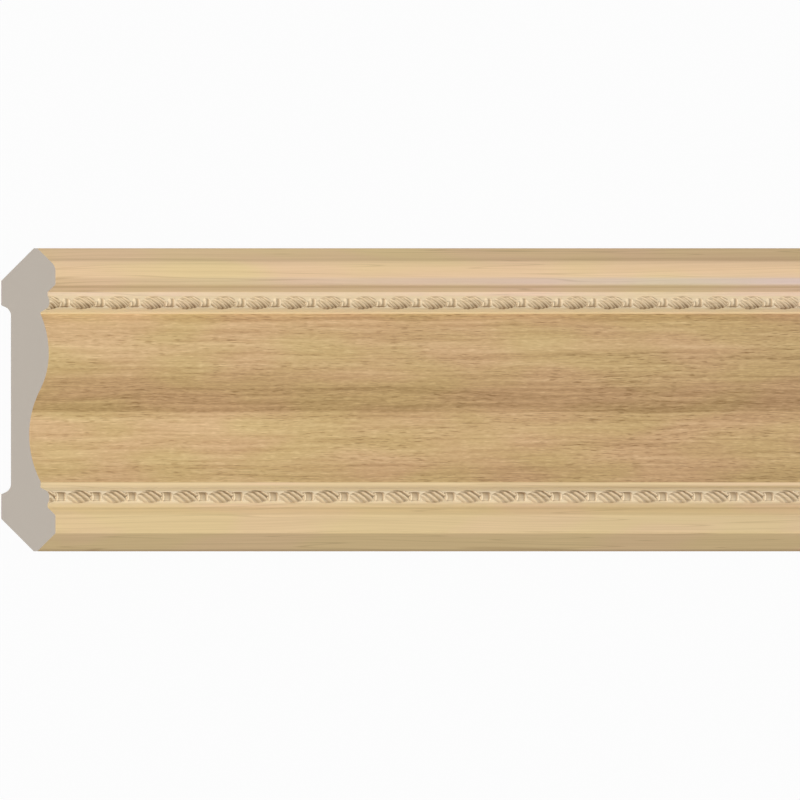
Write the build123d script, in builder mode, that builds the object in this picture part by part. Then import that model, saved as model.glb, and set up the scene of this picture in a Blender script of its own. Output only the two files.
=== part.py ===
"""Door cornice: one stock length of foamed-polystyrene crown moulding.

It is extruded in one piece and lies on its back, as it would on a level floor. X runs along its length,
+Y points to the upper edge of the face, and Z is the depth from the two back lands to the face. The origin
is midway along, midway across, and level with the back lands. All sizes are in millimetres.
"""

import os

from build123d import *

# Stock size
length = 2400.0
face_width = 134.0  # tip to tip across the face
thickness = 24.0  # from the back lands to the flats of the two border bands

# Back: 45 degree seats for wall and ceiling, two lands, and a shallow relief between them
seat_leg = 14.4  # what each seat takes off its back corner, both across and in depth
land_width = 10.8
relief_depth = 4.3
relief_flank = 2.0  # how far each sloping side of the relief runs across
relief_root_radius = 4.0

# Border bands, alike along both edges of the face apart from the outer shoulders
tip_flat = 1.6  # square edge between a seat and the bevel in front of it
band_flat = 8.0
upper_shoulder_radius = 5.0
lower_shoulder_radius = 1.0
inner_shoulder_radius = 1.5
arris_radius = 0.4  # worn onto the sharp outer corners by the die

# Quirk and crowned bead strip inside each band. Every drop is measured down from the flats of the bands
quirk_drop = 3.5
quirk_slope = 3.4  # how far the slope down into the quirk runs across
quirk_width = 1.6
quirk_radius = 0.7
strip_width = 5.5
strip_crown = 0.8  # rise of the strip's middle above its edges
strip_step = 1.7  # how far the step down from the strip to the panel runs across

# Ogee panel between two narrow margins
margin_drop = 6.6
upper_margin = 0.8
lower_margin = 2.7
swell_drop = 3.0  # down to the crest of the convex half
swell_run = 17.6  # from the upper margin to that crest
hollow_drop = 11.6  # down to the bottom of the concave half
hollow_run = 20.7  # from the lower margin to that bottom
turn_share = 0.45  # where the convex half turns into the concave one, on the way from crest to bottom

half_width = face_width / 2
seat_foot = half_width - seat_leg
seat_end = seat_leg + tip_flat
bevel_run = thickness - seat_end  # the bevel stands at 45 degrees
quirk_floor = thickness - quirk_drop
margin_level = thickness - margin_drop


def border(side, shoulder_radius):
    """Outline of one edge, from the foot of its seat to the panel side of its quirk.

    side is 1 along the upper edge and -1 along the lower one. Returns the last point.
    """
    points = [
        (side * seat_foot, 0),
        (side * half_width, seat_leg),
        (side * half_width, seat_end),
    ]
    across = 0.0
    for run, level in (
        (bevel_run, thickness),
        (band_flat, thickness),
        (quirk_slope, quirk_floor),
        (quirk_width, quirk_floor),
    ):
        across += run
        points.append((side * (half_width - across), level))
    FilletPolyline(
        *points,
        radius=[arris_radius, arris_radius, shoulder_radius, inner_shoulder_radius, quirk_radius],
    )
    return points[-1]


def bead_strip(side, start, margin):
    """Crowned strip that carries the bead ornament, the step down from it and the panel's margin.

    Returns the end of the margin, where the panel starts.
    """
    crown = (start[0] - side * strip_width / 2, quirk_floor + strip_crown)
    strip_end = (start[0] - side * strip_width, quirk_floor)
    ThreePointArc(start, crown, strip_end)
    step_foot = (strip_end[0] - side * strip_step, margin_level)
    margin_end = (step_foot[0] - side * margin, margin_level)
    Polyline(strip_end, step_foot, margin_end)
    return margin_end


def ogee(upper, lower):
    """Cyma of four arcs from the upper margin to the lower one, level at its crest and at its bottom."""
    crest = Vector(upper[0] - swell_run, thickness - swell_drop)
    bottom = Vector(lower[0] + hollow_run, thickness - hollow_drop)
    turn = crest + (bottom - crest) * turn_share
    TangentArc(crest, upper, tangent=(1, 0))
    TangentArc(crest, turn, tangent=(-1, 0))
    TangentArc(bottom, turn, tangent=(1, 0))
    TangentArc(bottom, lower, tangent=(-1, 0))


with BuildPart() as cornice:
    with BuildSketch(Plane.YZ) as section:
        with BuildLine() as outline:
            upper_quirk = border(1, upper_shoulder_radius)
            lower_quirk = border(-1, lower_shoulder_radius)
            upper_panel = bead_strip(1, upper_quirk, upper_margin)
            lower_panel = bead_strip(-1, lower_quirk, lower_margin)
            ogee(upper_panel, lower_panel)
            Line((seat_foot, 0), (-seat_foot, 0))
        make_face()
        with BuildLine() as relief:
            relief_edge = seat_foot - land_width
            root_edge = relief_edge - relief_flank
            FilletPolyline(
                (-relief_edge, 0),
                (-root_edge, relief_depth),
                (root_edge, relief_depth),
                (relief_edge, 0),
                radius=[0, relief_root_radius, relief_root_radius, 0],
                close=True,
            )
        make_face(mode=Mode.SUBTRACT)
    extrude(amount=length / 2, both=True)

cornice.part.label = "cornice"

os.makedirs("parts", exist_ok=True)
export_step(cornice.part, "parts/cornice.step")
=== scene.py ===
import math

import bpy
import numpy as np
from mathutils import Matrix, Vector


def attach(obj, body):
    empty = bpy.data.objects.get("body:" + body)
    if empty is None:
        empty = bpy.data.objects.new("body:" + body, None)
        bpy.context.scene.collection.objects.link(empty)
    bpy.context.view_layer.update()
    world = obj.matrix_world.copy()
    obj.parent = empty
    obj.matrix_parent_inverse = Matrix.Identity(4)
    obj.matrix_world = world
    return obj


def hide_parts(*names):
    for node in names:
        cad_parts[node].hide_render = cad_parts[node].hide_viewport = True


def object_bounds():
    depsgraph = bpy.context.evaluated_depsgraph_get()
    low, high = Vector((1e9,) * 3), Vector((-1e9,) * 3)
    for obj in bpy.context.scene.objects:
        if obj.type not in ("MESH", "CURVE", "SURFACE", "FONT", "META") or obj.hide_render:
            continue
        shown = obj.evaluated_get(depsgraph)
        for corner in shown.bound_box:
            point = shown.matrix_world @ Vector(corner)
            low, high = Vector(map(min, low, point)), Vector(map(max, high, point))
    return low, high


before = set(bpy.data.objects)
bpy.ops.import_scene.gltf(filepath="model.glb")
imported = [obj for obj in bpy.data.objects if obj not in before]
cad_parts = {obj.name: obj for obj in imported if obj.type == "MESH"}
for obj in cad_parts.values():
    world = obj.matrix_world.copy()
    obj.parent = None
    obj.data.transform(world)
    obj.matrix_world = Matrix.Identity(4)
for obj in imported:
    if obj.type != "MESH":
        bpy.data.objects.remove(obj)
cadLow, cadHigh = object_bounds()
print("frame loaded")

mm = 0.001
sharpAngle = 38  # degrees, past which an edge is shaded as an edge


def srgb(code):
    # Hex colour to linear: c/12.92 below 0.04045, else ((c + 0.055)/1.055)^2.4
    parts = [int(code[i:i + 2], 16) / 255 for i in (1, 3, 5)]
    return [c / 12.92 if c < 0.04045 else ((c + 0.055) / 1.055) ** 2.4 for c in parts] + [1.0]


def addNode(tree, kind, inputs=None, stops=None, **settings):
    # Adds one node. An input given as another node or its output is linked, and any other is set. Inputs go
    # by name or number: a Map Range has its limits at 1 to 4, and a Mix has two colours at 6 and 7, mixed at
    # output 2, and two vectors at 4 and 5, mixed at output 1. Stops, as (place, colour or grey), fill a ramp
    node = tree.nodes.new(kind)
    for name, value in settings.items():
        setattr(node, name, value)
    for key, value in (inputs or {}).items():
        if isinstance(value, bpy.types.Node):
            value = value.outputs[0]
        if isinstance(value, bpy.types.NodeSocket):
            tree.links.new(value, node.inputs[key])
        else:
            node.inputs[key].default_value = value
    if stops:
        ramp = node.color_ramp
        for _ in stops[2:]:
            ramp.elements.new(0.5)
        for element, (place, value) in zip(ramp.elements, stops):
            element.position = place
            element.color = srgb(value) if isinstance(value, str) else [value, value, value, 1.0]
    return node


def newMaterial(name):
    # A material with an empty node tree
    material = bpy.data.materials.new(name)
    material.use_nodes = True
    material.node_tree.nodes.clear()
    return material, material.node_tree


# The section, in mm, as on the solid: across is measured inwards from a tip, and drops from the band flats
section = {
    "seatLeg": 14.4,
    "tipFlat": 1.6,
    "landWidth": 10.8,
    "reliefDepth": 4.3,
    "reliefFlank": 2.0,
    "reliefRootRadius": 4.0,
    "bandFlat": 8.0,
    "upperShoulderRadius": 5.0,
    "lowerShoulderRadius": 1.0,
    "innerShoulderRadius": 1.5,
    "arrisRadius": 0.4,
    "quirkDrop": 3.5,
    "quirkSlope": 3.4,
    "quirkWidth": 1.6,
    "quirkRadius": 0.7,
    "stripWidth": 5.5,
    "stripCrown": 0.8,
    "stripStep": 1.7,
    "marginDrop": 6.6,
    "upperMargin": 0.8,
    "lowerMargin": 2.7,
    "swellDrop": 3.0,
    "swellRun": 17.6,
    "hollowDrop": 11.6,
    "hollowRun": 20.7,
    "turnShare": 0.45,
    "frontStep": 0.35,  # spacing of the mesh's points across the face
    "backStep": 4.0,
    "arcStep": 0.2,  # radians between the points of a rounded corner
    "crownPoints": 19,  # across each bead strip
    "stations": 25,  # cross-sections along the length
}
halfWidth = (cadHigh.y - cadLow.y) / 2 / mm
thickness = (cadHigh.z - cadLow.z) / mm
halfLength = (cadHigh.x - cadLow.x) / 2 / mm
quirkFloor = thickness - section["quirkDrop"]
marginLevel = thickness - section["marginDrop"]
bevelRun = thickness - section["seatLeg"] - section["tipFlat"]
stripStart = bevelRun + section["bandFlat"] + section["quirkSlope"] + section["quirkWidth"]
stripEnd = stripStart + section["stripWidth"]
marginStart = stripEnd + section["stripStep"]


def roundedPath(points, radii, step):
    # Straight runs cut into pieces of one step, with each corner as an arc
    # start + r*(sin a * along + (1 - cos a) * inwards), which begins r*tan(turn/2) before the corner
    points = np.array(points, float)
    path, last = [], points[0]
    for i, radius in enumerate(radii, start=1):
        along = points[i] - points[i - 1]
        along /= np.linalg.norm(along)
        leaving = points[i + 1] - points[i]
        leaving /= np.linalg.norm(leaving)
        turn = math.acos(np.clip(along @ leaving, -1, 1))
        inwards = leaving - along * (along @ leaving)
        inwards /= np.linalg.norm(inwards)
        start = points[i] - along * radius * math.tan(turn / 2)
        path.append(straight(last, start, step))
        a = np.linspace(0, turn, 2 + int(turn / section["arcStep"]))[:, None]
        arc = start + radius * (np.sin(a) * along + (1 - np.cos(a)) * inwards)
        path.append(arc[:-1])
        last = arc[-1]
    path.append(straight(last, points[-1], step))
    return np.concatenate(path)


def straight(start, end, step):
    # Evenly spaced points from start up to, but not including, end
    start, end = np.array(start, float), np.array(end, float)
    count = max(1, int(np.ceil(np.linalg.norm(end - start) / step)))
    return start + (end - start) * (np.arange(count) / count)[:, None]


def crownHeight(across):
    # Height of a bead strip at that distance from the tip: an arc through both edges and the crown
    half, crown = section["stripWidth"] / 2, section["stripCrown"]
    radius = (half ** 2 + crown ** 2) / (2 * crown)
    middle = stripStart + half
    return quirkFloor + crown - radius + np.sqrt(radius ** 2 - np.minimum(np.abs(across - middle), half) ** 2)


def levelArc(y, apex, end):
    # Height of the arc that is level at its apex and passes through end: apex -+ (R - sqrt(R^2 - (y - y0)^2))
    fall = apex[1] - end[1]
    radius = ((end[0] - apex[0]) ** 2 + fall ** 2) / (2 * abs(fall))
    return apex[1] - np.sign(fall) * (radius - np.sqrt(radius ** 2 - (y - apex[0]) ** 2))


def ogeeHeight(y):
    # Four level arcs: upper margin to crest, crest to turn, turn to bottom, bottom to lower margin
    upper = (halfWidth - marginStart - section["upperMargin"], marginLevel)
    lower = (marginStart + section["lowerMargin"] - halfWidth, marginLevel)
    crest = (upper[0] - section["swellRun"], thickness - section["swellDrop"])
    bottom = (lower[0] + section["hollowRun"], thickness - section["hollowDrop"])
    turn = tuple(c + (b - c) * section["turnShare"] for c, b in zip(crest, bottom))
    return np.select(
        [y > crest[0], y > turn[0], y > bottom[0]],
        [levelArc(np.maximum(y, crest[0]), crest, upper),
         levelArc(np.clip(y, turn[0], crest[0]), crest, turn),
         levelArc(np.clip(y, bottom[0], turn[0]), bottom, turn)],
        levelArc(np.minimum(y, bottom[0]), bottom, lower),
    )


def borderPath(side, shoulderRadius):
    # One edge of the face, from its tip inwards: border, quirk, crowned strip, step and margin
    step = section["frontStep"]
    across = np.cumsum([bevelRun, section["bandFlat"], section["quirkSlope"], section["quirkWidth"]])
    levels = [thickness, thickness, quirkFloor, quirkFloor]
    corners = [(halfWidth, section["seatLeg"] + section["arrisRadius"]),
               (halfWidth, section["seatLeg"] + section["tipFlat"])]
    corners += [(halfWidth - a, level) for a, level in zip(across, levels)]
    radii = [section["arrisRadius"], shoulderRadius, section["innerShoulderRadius"], section["quirkRadius"]]
    strip = np.linspace(stripStart, stripEnd, section["crownPoints"])[:-1]
    margin = section["upperMargin"] if side > 0 else section["lowerMargin"]
    foot = halfWidth - marginStart
    path = np.concatenate([
        roundedPath(corners, radii, step),
        np.stack([halfWidth - strip, crownHeight(strip)], 1),
        straight((halfWidth - stripEnd, quirkFloor), (foot, marginLevel), step),
        straight((foot, marginLevel), (foot - margin, marginLevel), step),
    ])
    return path * [side, 1]


def backPath():
    # From the lower tip round the back to the upper tip: seats, lands, and the relief with rounded roots
    foot = halfWidth - section["seatLeg"]
    reliefEdge = foot - section["landWidth"]
    rootEdge = reliefEdge - section["reliefFlank"]
    corners = [(-halfWidth, section["seatLeg"] + section["arrisRadius"]), (-halfWidth, section["seatLeg"]),
               (-foot, 0), (-reliefEdge, 0), (-rootEdge, section["reliefDepth"]),
               (rootEdge, section["reliefDepth"]), (reliefEdge, 0), (foot, 0),
               (halfWidth, section["seatLeg"]), (halfWidth, section["seatLeg"] + section["arrisRadius"])]
    arris, root = section["arrisRadius"], section["reliefRootRadius"]
    radii = [arris, arris, arris, root, root, arris, arris, arris]
    return roundedPath(corners, radii, section["backStep"])


def sectionLoop():
    # The whole outline, anticlockwise seen from +X, with each stretch's material: 0 border, 1 panel, 2 foam
    upper = borderPath(1, section["upperShoulderRadius"])
    lower = borderPath(-1, section["lowerShoulderRadius"])[:0:-1]  # the back starts at its tip
    panelTop = halfWidth - marginStart - section["upperMargin"]
    panelFoot = marginStart + section["lowerMargin"] - halfWidth
    count = int((panelTop - panelFoot) / section["frontStep"])
    y = np.linspace(panelTop, panelFoot, count)[:-1]
    panel = np.stack([y, ogeeHeight(y)], 1)
    start = np.array([[panelFoot, marginLevel]])
    back = backPath()
    loop = np.concatenate([upper, panel, start, lower, back])
    # The panel's film laps one step onto the lower margin
    kinds = np.repeat([0, 1, 0, 2], [len(upper), len(panel) + 1, len(lower), len(back)])
    return loop, kinds


loop, loopKinds = sectionLoop()
edgeLengths = np.linalg.norm(np.roll(loop, -1, 0) - loop, axis=1)
arcAt = np.concatenate([[0], np.cumsum(edgeLengths)])  # distance round the outline from the upper tip
frontEnd = np.flatnonzero(loopKinds == 2)[0]  # the outline's points before this one are the face's


def arcOfFace(y):
    # Distance round the outline of the point of the face at that y
    return np.interp(-y, -loop[:frontEnd, 0], arcAt[:frontEnd])


def heightOfFace(y):
    # Height of the face at that y
    return np.interp(-y, -loop[:frontEnd, 0], loop[:frontEnd, 1])


# The print across each border, with painted shade at its creases and lower bevel, painted light on its steps
# and a painted sheen on the upper flat, as (mm in from its tip, darkness and paleness where the printing
# roller's turn starts, the same half a turn on). "green" is how far the whole border leans to the greener mix
# of ink
borderPrintAndShading = {
    "upper": [
        (0.0, 0.31, 0.0, 0.54, 0.0), (0.8, 0.25, 0.0, 0.48, 0.0), (4.0, 0.25, 0.0, 0.48, 0.0),  # bevel
        (4.6, 0.32, 0.0, 0.56, 0.0), (5.3, 0.32, 0.0, 0.56, 0.0),  # its dark line
        (6.1, 0.15, 0.0, 0.24, 0.0), (8.0, 0.22, 0.0, 0.28, 0.0),  # shoulder, made lighter as painted light against its shade
        (10.0, 0.27, 0.0, 0.3, 0.0), (12.6, 0.27, 0.0, 0.28, 0.15),  # flat
        (13.6, 0.4, 0.0, 0.29, 1.05), (15.4, 0.4, 0.0, 0.29, 1.05),  # painted sheen on the flat, paler and growing half a turn on
        (16.1, 0.34, 0.0, 0.29, 0.6), (16.8, 0.42, 0.0, 0.42, 0.2), (17.2, 0.52, 0.0, 0.52, 0.15),  # quirk, with painted shade along its upper edge
        (17.7, 0.35, 0.1, 0.38, 0.3), (19.2, 0.33, 0.1, 0.35, 0.25),
        (19.6, 0.21, 0.5, 0.28, 0.5), (26.0, 0.12, 0.6, 0.13, 0.7),  # bead strip
        (26.3, 0.27, 0.5, 0.24, 0.6),
        (26.8, 0.0, 0.35, 0.0, 0.4), (27.9, 0.0, 0.35, 0.0, 0.4), (28.15, 0.1, 0.35, 0.1, 0.4),  # step, made lighter as painted light against its shade
        (28.45, 0.42, 0.1, 0.42, 0.1), (28.8, 0.24, 0.1, 0.38, 0.1),  # margin, with painted shade in its corner at the step
    ],
    "lower": [
        (0.0, 0.71, 0.1, 0.71, 0.1), (0.7, 0.63, 0.1, 0.63, 0.1), (1.1, 0.45, 0.0, 0.48, 0.0),  # tip, with painted shade along its lower edge
        (7.6, 0.45, 0.0, 0.48, 0.0), (8.2, 0.31, 0.0, 0.32, 0.0),  # bevel, with painted shade on this downward face where the turn starts
        (9.5, 0.31, 0.0, 0.36, 0.15), (15.0, 0.31, 0.0, 0.38, 0.15), (16.2, 0.22, 0.0, 0.35, 0.05),  # flat
        (17.6, 0.21, 0.0, 0.32, 0.0), (18.4, 0.21, 0.0, 0.32, 0.0), (18.9, 0.36, 0.0, 0.5, 0.0),  # quirk
        (19.5, 0.36, 0.1, 0.52, 0.1), (21.1, 0.31, 0.3, 0.47, 0.3),
        (22.0, 0.05, 0.6, 0.16, 0.6), (26.7, 0.04, 0.6, 0.13, 0.6),  # bead strip
        (27.1, 0.0, 0.4, 0.06, 0.4), (27.7, 0.0, 0.4, 0.1, 0.4), (28.0, 0.12, 0.4, 0.5, 0.38),  # step, made lighter as painted light against its shade
        (28.4, 0.38, 0.35, 0.66, 0.3), (28.9, 0.36, 0.3, 0.5, 0.25), (29.3, 0.3, 0.3, 0.36, 0.3),  # margin, with painted shade in its corner at the step
        (29.9, 0.22, 0.2, 0.3, 0.2), (30.3, 0.28, 0.2, 0.34, 0.2), (30.6, 0.5, 0.1, 0.5, 0.1),
    ],
    "green": {"upper": 0.0, "lower": 0.5},
    "stripGreen": 0.8,  # added on the bead strips and just past them
    "beadPale": (0.5, 0.65),  # paleness of the beads, at the turn's start and half a turn on
}


def inkAndShadingOfFace(y):
    # Ink of the border print, with its painted shade, light and sheen, at that y, by straight interpolation
    # between the places above, as an array of (darkness, paleness, greenness), once for the start of the
    # roller's turn and once for half a turn on
    across = halfWidth - np.abs(y)
    inks = []
    for side in ("upper", "lower"):
        places, *columns = zip(*borderPrintAndShading[side])
        dark, pale, farDark, farPale = (np.interp(across, places, column) for column in columns)
        onStrip = (across > stripStart) & (across < marginStart + section["upperMargin"])
        green = borderPrintAndShading["green"][side] + borderPrintAndShading["stripGreen"] * onStrip
        near, far = np.stack([dark, pale, green], -1), np.stack([farDark, farPale, green], -1)
        inks.append(np.stack([near, far], -2))
    return np.where(y[:, None, None] > 0, inks[0], inks[1])


def meshPiece(name, points, corners, sizes, materials, faceMaterial, uv, ink):
    # One object from flat arrays: points in mm, corner vertices and how many of them each face has
    mesh = bpy.data.meshes.new(name)
    mesh.vertices.add(len(points))
    mesh.vertices.foreach_set("co", (points * mm).astype(np.float32).ravel())
    mesh.loops.add(len(corners))
    mesh.loops.foreach_set("vertex_index", corners.astype(np.int32))
    mesh.polygons.add(len(sizes))
    mesh.polygons.foreach_set("loop_start", (np.cumsum(sizes) - sizes).astype(np.int32))
    mesh.polygons.foreach_set("material_index", faceMaterial.astype(np.int32))
    for material in materials:
        mesh.materials.append(material)
    mesh.uv_layers.new(name="film").uv.foreach_set("vector", (uv * mm).astype(np.float32).ravel())
    # The ink layers carry the print and, on the border and beads, its painted shade, light and sheen
    for which, layer in enumerate(("ink", "farInk")):
        values = np.ascontiguousarray(ink[:, which], np.float32).ravel()
        mesh.attributes.new(layer, "FLOAT_VECTOR", "POINT").data.foreach_set("vector", values)
    mesh.update(calc_edges=True)
    mesh.validate(verbose=True)
    mesh.set_sharp_from_angle(angle=math.radians(sharpAngle))
    piece = bpy.data.objects.new(name, mesh)
    bpy.context.scene.collection.objects.link(piece)
    return piece


def makeBody(materials):
    # The outline repeated at each station along X, joined by quads, with one flat face on each sawn end
    around, stations = len(loop), section["stations"]
    x = np.linspace(-halfLength, halfLength, stations)
    points = np.zeros((stations, around, 3))
    points[..., 0] = x[:, None]
    points[..., 1:] = loop
    i, j = np.meshgrid(np.arange(stations - 1), np.arange(around), indexing="ij")
    nextJ = (j + 1) % around
    quads = np.stack([i * around + j, i * around + nextJ, (i + 1) * around + nextJ, (i + 1) * around + j], -1)
    v0, v1 = arcAt[j], arcAt[j + 1]
    uvQuads = np.stack([np.stack([x[i], v0], -1), np.stack([x[i], v1], -1),
                        np.stack([x[i + 1], v1], -1), np.stack([x[i + 1], v0], -1)], -2)
    ends = np.arange(around)
    corners = np.concatenate([quads.ravel(), ends[::-1], (stations - 1) * around + ends])
    uv = np.concatenate([uvQuads.reshape(-1, 2), loop[::-1], loop])
    sizes = np.array([4] * (quads.size // 4) + [around, around])
    faceMaterial = np.concatenate([np.tile(loopKinds, stations - 1), [3, 3]])
    ink = np.tile(inkAndShadingOfFace(loop[:, 0]), (stations, 1, 1))
    piece = meshPiece("cornice_body", points.reshape(-1, 3), corners, sizes, materials, faceMaterial, uv, ink)
    piece.data.polygons.foreach_set("use_smooth", np.array([True] * (len(sizes) - 2) + [False] * 2))
    return piece


# The two embossed rows. x runs along a cell from the middle of its first ring, v across it towards the panel,
# and all lengths are in mm. A flute is one turn of the twist, as (share of its pitch, share of full height).
# A ring is (place, half width, share of full height, darkness of its crest, how far across it stays light),
# where the darkness is painted shade that doubles towards the panel and the light ends where painted shade
# begins.
# "middle" is measured in from the tip, and a flute runs "slant" mm along for each mm across. A reel is flat
# before its "corner" (x, v). The groove shade is painted shade in the grooves, and "shade" the place (x, v)
# of one more painted shade
beadRows = {
    "upper": {
        "border": "upper", "side": 1, "pitch": 15.56, "firstRing": 4.77, "middle": 24.1,
        "slant": 1.2, "flutePitch": 3.5, "grooveAt": 7.23,
        "flute": [(0.0, 0.0), (0.24, 1.0), (0.5, 0.2), (0.74, 0.65)],
        "rings": [(0.0, 0.45, 1.0, 0.0, 9.0), (1.8, 0.75, 0.7, 0.12, 1.0), (3.7, 0.45, 1.0, 0.08, 9.0)],
        "corner": (1.3, -0.9), "wash": 0.78, "shade": (12.1, 1.7),
    },
    "lower": {
        "border": "lower", "side": -1, "pitch": 15.65, "firstRing": 3.17, "middle": 24.1,
        "slant": -1.2, "flutePitch": 3.3, "grooveAt": 8.23,
        "flute": [(0.0, 0.0), (0.3, 1.0), (0.72, 0.2)],
        "rings": [(0.05, 0.5, 1.0, 0.0, 9.0), (1.98, 1.43, 0.9, 0.39, 9.0), (3.74, 0.42, 1.0, 0.1, 9.0)],
        "corner": (-9.0, -9.0),  # outside the reel, which is whole
        "wash": 0.74, "shade": (12.1, -1.8),
    },
}
spindle = {
    "start": 4.2,
    "length": 10.9,
    "width": 6.0,
    "base": -0.15,  # level of its rim before that is tucked under the strip
    "height": 1.55,
    "fullest": 0.57,  # where along it the outline is widest
    "tipShare": 0.3,  # width of its two blunt ends
    "endShare": 0.63,
    "endPower": 2.2,  # how late it narrows to the second one
    "fluteDepth": 0.7,
    "rows": 4,
    "trim": 0.3,  # cut off both ends of the twist, so that no face shrinks to a point
    "roundedEnd": 0.4,  # how far in from an end it reaches full height
    "spacing": 0.35,  # least distance between the twist's lines there
    "turns": (-6, 10),  # turns of the twist that are tried, enough to pass both ends
    "endSamples": 80,  # places along it that are tried for the twist's first and last line
}
reel = {
    "width": 4.3,
    "base": -0.12,
    "height": 0.9,
    "between": 0.3,  # share of that height between two rings
    "cornerSlope": 0.4,  # how far the reel takes to rise out of its flat corner
    "rows": 4,
    "lines": (-1, -0.65, 0, 1),  # where the mesh has lines on a ring, as shares of its half width
    "spacing": 0.05,  # least distance of a line from a sawn side
}
embossing = {
    "crownShare": 0.55,  # how much of the strip's crown the relief follows
    "tuck": 0.1,  # how far its rim lies under the strip
    "sunk": 1.6,  # how far the underside of a sawn bead does
    "sawGap": 0.03,  # how far inside the sawn ends the cut beads stop
    "leastSlice": 0.8,  # a thinner slice than this would have fallen off the saw
    "samples": 401,  # places across it that are tried for where a line enters and leaves it
    "spindleDark": 0.16,  # darkness of the print on its ridges
    "outerGrooveShade": 0.52,  # share of the painted shade in its grooves along the rim away from the panel
    "tipGrooveShade": 0.7,  # and at its tip
    "spindleRimShadow": 0.12,  # painted shadow along the rim towards the panel
    "reelDark": 0.12,
    # Painted shade between the reel's rings and on its panel side, and a painted shadow along its rim towards
    # the panel
    "reelGrooveShade": 0.46,
    "reelRimShadow": 0.3,
    "shade": 0.1,  # painted shade round one place near the blunt end of each spindle
    "shadeReach": 1.7,
}


def crossings(outline, low, high, slant, s, widest):
    # Where each line x = s + slant*v enters and leaves the region |v| < outline(x), low < x < high
    v = np.linspace(-widest, widest, embossing["samples"])
    x = s[:, None] + slant * v
    inside = (np.abs(v) <= outline(x)) & (x >= low) & (x <= high)
    kept = inside.any(1)
    first = v[inside[kept].argmax(1)]
    last = v[len(v) - 1 - inside[kept][:, ::-1].argmax(1)]
    return s[kept], first, last


def slantedGrid(outline, low, high, slant, s, widest, rows):
    # Each line is cut into rows between its two crossings, closer together towards both ends
    s, first, last = crossings(outline, low, high, slant, s, widest)
    share = (1 - np.cos(np.linspace(0, np.pi, rows + 1))) / 2
    v = first[:, None] + (last - first)[:, None] * share
    return np.clip(s[:, None] + slant * v, low, high), v, s


def spindleOutline(x):
    # Half width: a quarter sine from the blunt tip to the fullest place, then full - fall * t^2.2 to the end
    t = np.clip((x - spindle["start"]) / spindle["length"], 0, 1)
    full, tip, end = spindle["fullest"], spindle["tipShare"], spindle["endShare"]
    rising = tip + (1 - tip) * np.sin(np.pi / 2 * np.clip(t / full, 0, 1))
    falling = 1 - (1 - end) * (np.clip(t - full, 0, 1) / (1 - full)) ** spindle["endPower"]
    return spindle["width"] / 2 * np.where(t < full, rising, falling)


def twistEnds(low, high, slant):
    # First and last slanted line that still meet the part of the spindle between low and high
    x = np.linspace(low, high, spindle["endSamples"])
    reach = abs(slant) * spindleOutline(x)
    return np.array([(x - reach).min() + spindle["trim"], (x + reach).max() - spindle["trim"]])


def fluteShare(s, row):
    # 1 on a ridge and 0 in a groove, by straight interpolation over one pitch of the twist
    phase = (s - row["grooveAt"]) / row["flutePitch"] % 1
    places, heights = zip(*row["flute"])
    return np.interp(phase, places + (1.0,), heights + (heights[0],))


def spindleShape(row, low, high):
    # Height: base + height * (local width)^0.5 * (1 - |v/w|^2.6)^0.6 * (1 - depth * (1 - flute)) * rise, and
    # rise is (distance from the end / rounded part)^0.5, up to 1. Darkness: its own + painted shade in the
    # grooves, groove shade * (1 - flute) * rise, less by the outer rim and at the tip, + a painted shadow
    # along the rim, rim * (v/w)^3, + one painted shade, shade * exp(-(distance/reach)^2)
    start, end = spindle["start"], spindle["start"] + spindle["length"]
    rounded, least = spindle["roundedEnd"], spindle["spacing"]
    low, high = max(low, start), min(high, end)
    whole, ends = twistEnds(start, end, row["slant"]), twistEnds(low, high, row["slant"])
    # The lines of a whole spindle come first, so that a sawn one has them at the same places
    turns = np.arange(*spindle["turns"])[:, None]
    s = row["grooveAt"] + row["flutePitch"] * (turns + np.array([place for place, _ in row["flute"]])).ravel()
    s = s[(s > whole[0] + rounded + least) & (s < whole[1] - rounded - least)]
    s = np.concatenate([whole[:1] + rounded, s, whole[1:] - rounded])
    s = np.concatenate([ends[:1], s[(s > ends[0] + least) & (s < ends[1] - least)], ends[1:]])
    x, v, s = slantedGrid(spindleOutline, low, high, row["slant"], s, spindle["width"] / 2, spindle["rows"])
    width = spindleOutline(x)
    flute = fluteShare(s, row)[:, None]
    dome = (2 * width / spindle["width"]) ** 0.5 * np.clip(1 - np.abs(v / width) ** 2.6, 0, 1) ** 0.6
    rise = np.clip(np.minimum(x - start, end - x) / rounded, 0, 1) ** 0.5
    z = spindle["base"] + spindle["height"] * dome * (1 - spindle["fluteDepth"] * (1 - flute)) * rise
    place, off = row["shade"]
    nearness = np.exp(-((x - place) ** 2 + (v - off) ** 2) / embossing["shadeReach"] ** 2)
    share = embossing["outerGrooveShade"] + (1 - embossing["outerGrooveShade"]) * (1 + v / width) / 2
    along = np.clip((x - start) / spindle["length"], 0, 1)
    share *= embossing["tipGrooveShade"] + (1 - embossing["tipGrooveShade"]) * along
    dark = embossing["spindleDark"] + row["wash"] * (1 - flute) * share * rise
    dark += embossing["spindleRimShadow"] * np.clip(v / width, 0, 1) ** 3 + embossing["shade"] * nearness
    return x, v, z, dark


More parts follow.
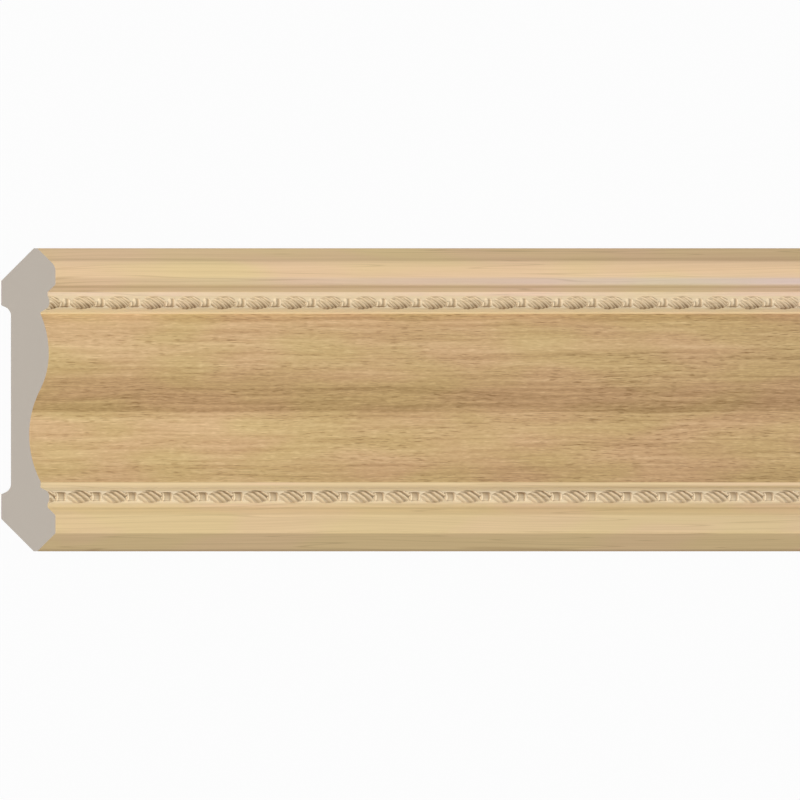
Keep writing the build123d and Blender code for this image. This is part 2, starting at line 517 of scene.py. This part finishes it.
def reelShape(row, low, high):
    # Rings side by side: base + height * highest half round * roll-off (1 - (v/w)^4)^0.5 towards both edges.
    # Darkness: its own + painted shade of the ring's * (1 + v/w), darker towards the panel, + groove shade
    # * ((distance from its crest / half width)^2 + (v/reach)^4), between the rings and on the panel side, + a
    #   painted
    # shadow along the rim, rim * (v/w)^2. Both fall to nothing in the corner
    first, last = row["rings"][0], row["rings"][-1]
    low, high = max(low, first[0] - first[1]), min(high, last[0] + last[1])
    s = [place + half * share for place, half, *_ in row["rings"] for share in reel["lines"]]
    s = np.unique(np.round(s, 3))  # rounded, so that rings that meet share one line
    s = np.concatenate([[low], s[(s > low + reel["spacing"]) & (s < high - reel["spacing"])], [high]])
    x, v, _ = slantedGrid(lambda x: np.full_like(x, reel["width"] / 2), low, high, 0.0, s, reel["width"] / 2,
                          reel["rows"])
    u = 2 * v / reel["width"]
    profile, darkness = np.zeros_like(x), np.ones_like(x)
    for place, half, tall, dark, reach in row["rings"]:
        off = ((x - place) / half) ** 2
        profile = np.maximum(profile, tall * np.clip(1 - off, 0, 1) ** 0.5)
        away = np.clip(off + (np.maximum(v, 0) / reach) ** 4, 0, 1)
        darkness = np.minimum(darkness, dark * (1 + u) + embossing["reelGrooveShade"] * away)
    edge = np.clip(1 - u ** 4, 0, 1) ** 0.5
    profile = np.maximum(profile, np.where((x > first[0]) & (x < last[0]), reel["between"], 0))
    raised = np.clip(np.maximum(x - row["corner"][0], v - row["corner"][1]) / reel["cornerSlope"], 0, 1)
    profile, darkness = profile * raised, darkness * raised
    z = reel["base"] + reel["height"] * profile * edge
    return x, v, z, embossing["reelDark"] + darkness + embossing["reelRimShadow"] * np.clip(u, 0, 1) ** 2


def embossed(shape, row, sawn):
    # A relief as a closed solid whose rim lies just under its strip. One face through the rim closes it, or
    # where the saw cuts it a skirt down from the rim and one flat face
    x, v, z, dark = shape
    side = row["side"]
    across = row["middle"] + v
    crown = quirkFloor + section["stripCrown"]
    ground = crown - (crown - crownHeight(across)) * embossing["crownShare"]
    top = np.stack([x, side * (halfWidth - across), ground + z], -1).reshape(-1, 3)
    columns, rows = x.shape
    k = np.arange(columns * rows).reshape(columns, rows)
    quads = np.stack([k[:-1, :-1], k[1:, :-1], k[1:, 1:], k[:-1, 1:]], -1).reshape(-1, 4)
    rim = np.concatenate([k[:-1, 0], k[-1, :-1], k[:0:-1, -1], k[0, :0:-1]])
    points, dark, under = top, dark.ravel(), rim
    if not sawn:
        top[rim, 2] = heightOfFace(top[rim, 1]) - embossing["tuck"]
    else:
        below = top[rim]
        below[:, 2] = quirkFloor - embossing["sunk"]
        under = len(top) + np.arange(len(rim))
        skirt = np.stack([np.roll(rim, -1), rim, under, np.roll(under, -1)], -1)
        points, quads = np.concatenate([top, below]), np.concatenate([quads, skirt])
        dark = np.concatenate([dark, dark[rim]])
    corners = np.concatenate([quads.ravel(), under[::-1]])
    sizes = np.array([4] * len(quads) + [len(rim)])
    # The darkness, most of it painted shade and shadow, goes into both ink layers with the paleness and
    # greenness
    green = borderPrintAndShading["green"][row["border"]] + borderPrintAndShading["stripGreen"]
    inks = [np.stack([dark, np.full_like(dark, pale), np.full_like(dark, green)], -1)
            for pale in borderPrintAndShading["beadPale"]]
    if side > 0:  # here v runs against Y, so the faces are turned round
        corners, sizes = corners[::-1], sizes[::-1]
    return points, corners, sizes, np.stack(inks, 1)


def repeated(solid, offsets):
    # The same solid at each offset along X, as one set of arrays
    points, corners, sizes, ink = solid
    count = len(offsets)
    moved = points[None] + np.array([1, 0, 0]) * offsets[:, None, None]
    shifted = corners[None] + (np.arange(count) * len(points))[:, None]
    return moved.reshape(-1, 3), shifted.ravel(), np.tile(sizes, count), np.tile(ink, (count, 1, 1))


def makeRelief(name, row, shapeOf, start, end, material):
    # Whole shapes repeated along the row, and those that the saw cuts at both ends
    cut = halfLength - embossing["sawGap"]
    cells = np.arange(-1, int(2 * halfLength / row["pitch"]) + 2)
    origins = row["firstRing"] - halfLength + row["pitch"] * cells
    begins, ends = origins + start, origins + end
    whole = embossed(shapeOf(row, -np.inf, np.inf), row, False)
    solids = [repeated(whole, origins[(begins > -cut) & (ends < cut)])]
    least = embossing["leastSlice"]
    for origin in origins[(begins < -cut) & (ends > -cut + least) | (ends > cut) & (begins < cut - least)]:
        solid = embossed(shapeOf(row, -cut - origin, cut - origin), row, True)
        solids.append(repeated(solid, np.array([origin])))
    before = np.cumsum([0] + [len(points) for points, _, _, _ in solids])
    points = np.concatenate([solid[0] for solid in solids])
    corners = np.concatenate([solid[1] + count for solid, count in zip(solids, before)])
    sizes = np.concatenate([solid[2] for solid in solids])
    ink = np.concatenate([solid[3] for solid in solids])
    uv = np.stack([points[corners, 0], arcOfFace(points[corners, 1])], -1)
    piece = meshPiece(name, points, corners, sizes, [material], np.zeros(len(sizes)), uv, ink)
    piece.data.polygons.foreach_set("use_smooth", np.ones(len(sizes), bool))
    print(name, "embossed with", len(whole[2]), "faces a bead")
    return piece


def grainNoise(tree, place, grain):
    # Noise stretched along the moulding, in cells about that long and that wide. The offset, in cells, picks
    # another part of it
    length, width, detail, offset = grain
    mapped = addNode(tree, "ShaderNodeMapping", {
        "Vector": place, "Scale": (1 / (length * mm), 1 / (width * mm), 1.0),
        "Location": (offset, 3.7 * offset, 0.0)})
    return addNode(tree, "ShaderNodeTexNoise", {"Vector": mapped, "Scale": 1.0, "Detail": detail},
                   noise_dimensions="2D")


def summed(tree, start, *patterns):
    # start + pattern * amount + ..., each pattern taken about its middle value of a half
    total = start
    for pattern, amount in patterns:
        centred = addNode(tree, "ShaderNodeMath", {0: pattern, 1: 0.5}, operation="SUBTRACT")
        total = addNode(tree, "ShaderNodeMath", {0: centred, 1: amount, 2: total}, operation="MULTIPLY_ADD")
    return total


def grainPlace(tree, film):
    # The film's own coordinates, with the grain swung across it by up to half of its swing
    uv = addNode(tree, "ShaderNodeUVMap", uv_map="film")
    parts = addNode(tree, "ShaderNodeSeparateXYZ", {0: uv}).outputs
    swung = summed(tree, parts[1], (grainNoise(tree, uv, film["grain"]["swing"]), film["swing"] * mm))
    return addNode(tree, "ShaderNodeCombineXYZ", {0: parts[0], 1: swung}), parts[0], swung


rollerTurn = 700  # mm of film printed in one turn of the roller


def inkDrift(tree, along):
    # 0 where the roller's turn starts, at the left end, and 1 half a turn on, by a straight rise and fall
    start = addNode(tree, "ShaderNodeMath", {0: along, 1: halfLength * mm}, operation="ADD")
    swept = addNode(tree, "ShaderNodeMath", {0: start, 1: rollerTurn / 2 * mm}, operation="PINGPONG")
    return addNode(tree, "ShaderNodeMapRange", {0: swept, 2: rollerTurn / 2 * mm})


def filmFinish(tree, tint, warmth, relief, film):
    # Ink = tint * (greener mix + warmth * (warmer mix - greener mix)), and the embossing is a bump
    lean = addNode(tree, "ShaderNodeMix", {0: warmth, 6: srgb(film["green"]), 7: srgb(film["warm"])},
                   data_type="RGBA")
    ink = addNode(tree, "ShaderNodeMix", {0: 1.0, 6: tint, 7: lean.outputs[2]},
                  data_type="RGBA", blend_type="MULTIPLY")
    bump = addNode(tree, "ShaderNodeBump", {
        "Height": relief, "Strength": 1.0, "Distance": film["relief"] * mm})
    shader = addNode(tree, "ShaderNodeBsdfPrincipled", {
        "Base Color": ink.outputs[2], "Roughness": film["roughness"], "IOR": film["ior"],
        "Specular IOR Level": film["specular"], "Normal": bump})
    addNode(tree, "ShaderNodeOutputMaterial", {0: shader})


# Border film: maple pattern printed on PVC, rolled hot onto the foam. Satin and smooth, with long soft
# streaks, a few thin growth lines that lean across, and, from "ink" and "farInk", its print with painted
# shade in the recesses and creases, painted light on the steps and a painted sheen on the upper flat
borderFilm = {
    "light": "#FFE1B6",
    # The pale ink is also the colour of the painted sheen on the upper flat
    "pale": "#F3E1D7",
    "dark": "#805C35",
    "green": "#FBFFF0",
    "warm": "#FFFBFB",
    "line": 0.13,  # how dark a growth line is
    "streak": 0.14,
    "fibre": 0.09,
    # The noise behind each part of the pattern, as (length and width of its cells in mm, detail, offset)
    "grain": {
        "swing": (140, 60, 1.5, 0.0),
        "rings": (330, 5.5, 1.0, 0.0),
        "fibres": (26, 0.5, 2.0, 0.0),  # real ones are about 0.1 mm wide, too fine to show
        "streaks": (130, 1.3, 3.0, 0.0),
        "patches": (60, 20, 1.0, 4.0),
    },
    "swing": 6.0,  # mm across
    "ringCount": 6.0,  # growth lines between the noise's 0 and 1
    "lineWidth": 0.07,  # half width of a line, in spaces between two
    "patchEdges": (0.3, 0.7),  # noise where a patch starts, and where it is full
    "roughness": 0.55,
    "ior": 1.5,
    "specular": 0.2,  # matt lacquer
    "relief": 0.02,  # mm
}


def makeBorderFilm():
    # Darkness = print, with its painted shade and light, + lines + streaks + fibres, from light or pale to
    # dark ink, where the pale ink also makes the painted sheen. Its patches lean the ink
    material, tree = newMaterial("mapleBorderFilm")
    grain = borderFilm["grain"]
    place, along, _ = grainPlace(tree, borderFilm)
    near = addNode(tree, "ShaderNodeAttribute", attribute_name="ink").outputs["Vector"]
    far = addNode(tree, "ShaderNodeAttribute", attribute_name="farInk").outputs["Vector"]
    inks = addNode(tree, "ShaderNodeMix", {0: inkDrift(tree, along), 4: near, 5: far}, data_type="VECTOR")
    darkness, palenessAndSheen, greenness = addNode(tree, "ShaderNodeSeparateXYZ", {0: inks.outputs[1]}).outputs
    rings = addNode(tree, "ShaderNodeMath", {
        0: grainNoise(tree, place, grain["rings"]), 1: borderFilm["ringCount"]}, operation="MULTIPLY")
    away = addNode(tree, "ShaderNodeMath", {0: rings, 1: 0.5}, operation="PINGPONG")  # from the nearest line
    lines = addNode(tree, "ShaderNodeMapRange", {0: away, 1: borderFilm["lineWidth"], 2: 0.0},
                    interpolation_type="SMOOTHSTEP")
    fibres = grainNoise(tree, place, grain["fibres"])
    lined = addNode(tree, "ShaderNodeMath", {0: lines, 1: borderFilm["line"], 2: darkness},
                    operation="MULTIPLY_ADD")
    dark = summed(tree, lined, (grainNoise(tree, place, grain["streaks"]), borderFilm["streak"]),
                  (fibres, borderFilm["fibre"]))
    paled = addNode(tree, "ShaderNodeMix", {
        0: palenessAndSheen, 6: srgb(borderFilm["light"]), 7: srgb(borderFilm["pale"])}, data_type="RGBA")
    tint = addNode(tree, "ShaderNodeMix", {0: dark, 6: paled.outputs[2], 7: srgb(borderFilm["dark"])},
                   data_type="RGBA")
    low, high = borderFilm["patchEdges"]
    patch = addNode(tree, "ShaderNodeMapRange", {
        0: grainNoise(tree, place, grain["patches"]), 1: low, 2: high}, interpolation_type="SMOOTHSTEP")
    warmth = addNode(tree, "ShaderNodeMath", {0: patch, 1: greenness}, operation="SUBTRACT", use_clamp=True)
    filmFinish(tree, tint.outputs[2], warmth, fibres, borderFilm)
    return material


# Panel film: oak pattern printed on PVC and embossed with its pores, rolled hot onto the foam. Satin, with
# short dark pores, fine broken fibres and a broad dark band that ends abruptly on its lower side
panelFilm = {
    "light": "#E4C7A2",
    "middle": "#C5A47E",
    "dark": "#947551",
    "green": "#FBFFF2",
    "warm": "#FFFBFB",
    "tones": ("#FFFEF0", "#FFFFF8"),  # the tint where the roller's turn starts, and half a turn on
    "drift": (1.16, 0.77),  # times the lightness at the same two places
    # Print density across the panel, as (mm of film down from its upper edge, lightness)
    "bands": [(0.0, 0.46), (2.6, 0.43), (3.8, 0.59), (14.2, 0.6), (23.0, 0.53), (30.0, 0.42), (38.0, 0.34),
              (44.6, 0.34), (45.7, 0.54), (52.7, 0.61), (61.6, 0.59), (70.7, 0.51), (76.0, 0.51)],
    "figure": 0.3,  # how much lightness each part of the pattern adds or takes
    "streak": 0.6,
    "fibre": 0.22,
    "grit": 0.24,
    "pore": 0.32,
    "fleck": 0.16,
    # The noise behind each part, as for the border film. Real pores are 0.1 to 0.3 mm wide, too fine for a
    # pixel of 0.44 mm, so they and the flecks are drawn wider
    "grain": {
        "swing": (45, 12, 1.5, 0.0),
        "bandSwing": (260, 300, 1.0, 9.0),
        "figure": (310, 7, 2.0, 25.4),
        "streaks": (60, 1.6, 3.0, 0.0),
        "fibres": (9, 0.8, 2.0, 0.0),
        "busy": (50, 8, 2.0, 3.0),
        "grit": (2.6, 0.7, 1.0, 7.0),
        "pores": (6, 0.5, 1.0, 2.0),
        "clusters": (60, 8, 2.0, 6.0),
        "flecks": (5, 0.5, 1.0, 12.0),
        "patches": (50, 16, 1.0, 4.0),
    },
    "swing": 1.8,  # mm across
    "bandSwing": 1.6,
    # Noise where each starts and where it is full, and what share of it is there before it starts
    "edges": {
        "pores": (0.58, 0.74, 0.0),
        "clusters": (0.4, 0.6, 0.25),
        "flecks": (0.56, 0.74, 0.0),
        "patches": (0.3, 0.7, 0.0),
    },
    "busyEdges": (0.35, 0.65),
    "busy": (0.3, 1.7),  # times the fibres, in calm stretches and in busy ones
    "poreDepth": 3.0,  # times the height of the fibres
    "roughness": 0.55,
    "ior": 1.5,
    "specular": 0.2,  # matt lacquer
    "relief": 0.02,  # mm
}


def makePanelFilm():
    # Lightness = bands * drift + figure + streaks + fibres + grit + flecks - pores, from dark to light ink
    material, tree = newMaterial("oakPanelFilm")
    grain = panelFilm["grain"]
    place, along, across = grainPlace(tree, panelFilm)
    top = arcOfFace(halfWidth - marginStart - section["upperMargin"])
    foot = arcOfFace(marginStart + section["lowerMargin"] - halfWidth)
    swung = summed(tree, across, (grainNoise(tree, place, grain["bandSwing"]), panelFilm["bandSwing"] * mm))
    share = addNode(tree, "ShaderNodeMapRange", {0: swung, 1: top * mm, 2: foot * mm})
    bands = addNode(tree, "ShaderNodeValToRGB", {0: share}, stops=[
        (down / (foot - top), level) for down, level in panelFilm["bands"]])
    fibres = grainNoise(tree, place, grain["fibres"])
    (low, high), (calm, lively) = panelFilm["busyEdges"], panelFilm["busy"]
    busy = addNode(tree, "ShaderNodeMapRange", {
        0: grainNoise(tree, place, grain["busy"]), 1: low, 2: high,
        3: calm * panelFilm["fibre"], 4: lively * panelFilm["fibre"]})
    edged = {}
    for part, (start, full, least) in panelFilm["edges"].items():
        edged[part] = addNode(tree, "ShaderNodeMapRange", {
            0: grainNoise(tree, place, grain[part]), 1: start, 2: full, 3: least},
            interpolation_type="SMOOTHSTEP")
    pores = addNode(tree, "ShaderNodeMath", {0: edged["pores"], 1: edged["clusters"]}, operation="MULTIPLY")
    turned = inkDrift(tree, along)
    near, far = panelFilm["drift"]
    drift = addNode(tree, "ShaderNodeMapRange", {0: turned, 3: near, 4: far})
    drifted = addNode(tree, "ShaderNodeMath", {0: bands, 1: drift}, operation="MULTIPLY")
    light = summed(tree, drifted, (grainNoise(tree, place, grain["figure"]), panelFilm["figure"]),
                   (grainNoise(tree, place, grain["streaks"]), panelFilm["streak"]), (fibres, busy),
                   (grainNoise(tree, place, grain["grit"]), panelFilm["grit"]))
    flecked = addNode(tree, "ShaderNodeMath", {0: edged["flecks"], 1: panelFilm["fleck"], 2: light},
                      operation="MULTIPLY_ADD")
    pitted = addNode(tree, "ShaderNodeMath", {0: pores, 1: -panelFilm["pore"], 2: flecked},
                     operation="MULTIPLY_ADD")
    tint = addNode(tree, "ShaderNodeValToRGB", {0: pitted}, stops=[
        (0.0, panelFilm["dark"]), (0.5, panelFilm["middle"]), (1.0, panelFilm["light"])])
    nearTone, farTone = panelFilm["tones"]
    tone = addNode(tree, "ShaderNodeMix", {0: turned, 6: srgb(nearTone), 7: srgb(farTone)}, data_type="RGBA")
    toned = addNode(tree, "ShaderNodeMix", {0: 1.0, 6: tint, 7: tone.outputs[2]},
                    data_type="RGBA", blend_type="MULTIPLY")
    height = addNode(tree, "ShaderNodeMath", {0: pores, 1: -panelFilm["poreDepth"], 2: fibres},
                     operation="MULTIPLY_ADD")
    filmFinish(tree, toned.outputs[2], edged["patches"], height, panelFilm)
    return material


# Core: polystyrene foamed in the die, so its skin is smooth and matt. The sawn ends are a little darker
foam = {
    "skin": "#BDB4A7",
    "cut": "#B4ABA0",
    "roughness": 0.75,
    "cell": 0.9,  # mm; real cells are about 0.2 mm across, so they are drawn coarser to show
    "bump": 0.15,
    "relief": 0.1,  # mm
}


def makeFoam(name, tint):
    # One plain colour, with the cells as a bump
    material, tree = newMaterial(name)
    place = addNode(tree, "ShaderNodeTexCoord").outputs["Object"]
    cells = addNode(tree, "ShaderNodeTexNoise", {
        "Vector": place, "Scale": 1 / (foam["cell"] * mm), "Detail": 2.0})
    bump = addNode(tree, "ShaderNodeBump", {
        "Height": cells, "Strength": foam["bump"], "Distance": foam["relief"] * mm})
    shader = addNode(tree, "ShaderNodeBsdfPrincipled", {
        "Base Color": srgb(tint), "Roughness": foam["roughness"], "Normal": bump})
    addNode(tree, "ShaderNodeOutputMaterial", {0: shader})
    return material


# The picture is an oblique view: the cut end in true shape, with its depth drawn to the right at full length
picture = {
    "pixels": 800,
    "pixelSize": 0.4422,  # mm on the object
    "endColumn": 1.2,  # where the back lands of the cut end stand
    "lowerTipRow": 551.3,
    "cameraHeight": 1000.0,
}


def makeCamera():
    # A point h above the floor is drawn h further right, so the line of sight runs along (1, 0, -1)
    scale, half, height = picture["pixelSize"], picture["pixels"] / 2, picture["cameraHeight"]
    middleX = -halfLength + (half - picture["endColumn"]) * scale - height
    middleY = -halfWidth + (picture["lowerTipRow"] - half) * scale
    camera = bpy.data.objects.new("camera", bpy.data.cameras.new("camera"))
    camera.data.type = "ORTHO"
    camera.data.ortho_scale = scale * picture["pixels"] * mm
    stand = bpy.data.objects.new("cameraStand", None)
    for thing in (camera, stand):
        bpy.context.scene.collection.objects.link(thing)
    camera.parent = stand
    camera.matrix_parent_inverse = Matrix((
        (1, 0, -1, middleX * mm), (0, 1, 0, middleY * mm), (0, 0, 1, height * mm), (0, 0, 0, 1)))
    bpy.context.scene.camera = camera


# Suns as (name, strength, angle in degrees, direction towards it): the key comes in low from the left
suns = [
    ("key", 2.7, 10, (-1.0, 0.0, 0.8)),
    ("front", 0.7, 60, (0.0, 0.0, 1.0)),
]
worldStrength = 0.22  # of the light all round; the background that shows is 1
white = (1, 1, 1, 1)


def seenShare(tree):
    # 1 for the rays that show the background, straight, mirrored or through glass, and 0 for those that light
    rays = addNode(tree, "ShaderNodeLightPath").outputs
    seen = addNode(tree, "ShaderNodeMath", {0: rays["Is Camera Ray"], 1: rays["Is Glossy Ray"]},
                   operation="MAXIMUM")
    return addNode(tree, "ShaderNodeMath", {0: seen, 1: rays["Is Transmission Ray"]}, operation="MAXIMUM")


def makeLight():
    # The suns, and a white world that shows at full strength but lights at its own
    for name, strength, angle, towards in suns:
        light = bpy.data.lights.new(name, "SUN")
        light.energy, light.angle = strength, math.radians(angle)
        lamp = bpy.data.objects.new(name, light)
        lamp.rotation_euler = (-Vector(towards)).to_track_quat("-Z", "Y").to_euler()
        bpy.context.scene.collection.objects.link(lamp)
    world = bpy.data.worlds.new("studio")
    bpy.context.scene.world = world
    world.use_nodes = True
    tree = world.node_tree
    tree.nodes.clear()
    strength = addNode(tree, "ShaderNodeMapRange", {0: seenShare(tree), 3: worldStrength, 4: 1.0})
    background = addNode(tree, "ShaderNodeBackground", {0: white, 1: strength})
    addNode(tree, "ShaderNodeOutputWorld", {0: background})


floorFinish = {
    "half": 8.0,  # metres
    "drop": 0.0002,  # below the moulding's back, so that the two don't flicker
    "paint": "#B4B4B4",
    "glow": 0.96,  # share of plain white that the camera sees, which keeps the shadow faint
}


def makeFloor():
    # One square: share * white glow + (1 - share) * grey paint, which takes the object's shadow
    mesh = bpy.data.meshes.new("floor")
    half, z = floorFinish["half"], -floorFinish["drop"]
    corners = [(-half, -half, z), (half, -half, z), (half, half, z), (-half, half, z)]
    mesh.from_pydata(corners, [], [(0, 1, 2, 3)])
    floor = bpy.data.objects.new("floor", mesh)
    bpy.context.scene.collection.objects.link(floor)
    material, tree = newMaterial("whiteFloor")
    share = addNode(tree, "ShaderNodeMath", {0: seenShare(tree), 1: floorFinish["glow"]},
                    operation="MULTIPLY")
    paint = addNode(tree, "ShaderNodeBsdfDiffuse", {0: srgb(floorFinish["paint"])})
    glow = addNode(tree, "ShaderNodeEmission", {0: white, 1: 1.0})
    mixed = addNode(tree, "ShaderNodeMixShader", {0: share, 1: paint, 2: glow})
    addNode(tree, "ShaderNodeOutputMaterial", {0: mixed})
    mesh.materials.append(material)


borderMaterial = makeBorderFilm()
skinMaterial, cutMaterial = makeFoam("foamSkin", foam["skin"]), makeFoam("foamCut", foam["cut"])
body = makeBody([borderMaterial, makePanelFilm(), skinMaterial, cutMaterial])
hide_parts("cornice")
pieces = [body]
for name, row in beadRows.items():
    firstRing, lastRing = row["rings"][0], row["rings"][-1]
    for kind, shapeOf, start, end in (
        ("spindles", spindleShape, spindle["start"], spindle["start"] + spindle["length"]),
        ("reels", reelShape, firstRing[0] - firstRing[1], lastRing[0] + lastRing[1]),
    ):
        pieces.append(makeRelief(name + "_" + kind, row, shapeOf, start, end, borderMaterial))
for piece in pieces:
    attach(piece, "root")
    piece.data.calc_loop_triangles()
    print(piece.name, "made:", len(piece.data.loop_triangles), "triangles")

makeFloor()
makeLight()
makeCamera()
bpy.context.scene.view_settings.view_transform = "Standard"
print("stage, light and camera made")
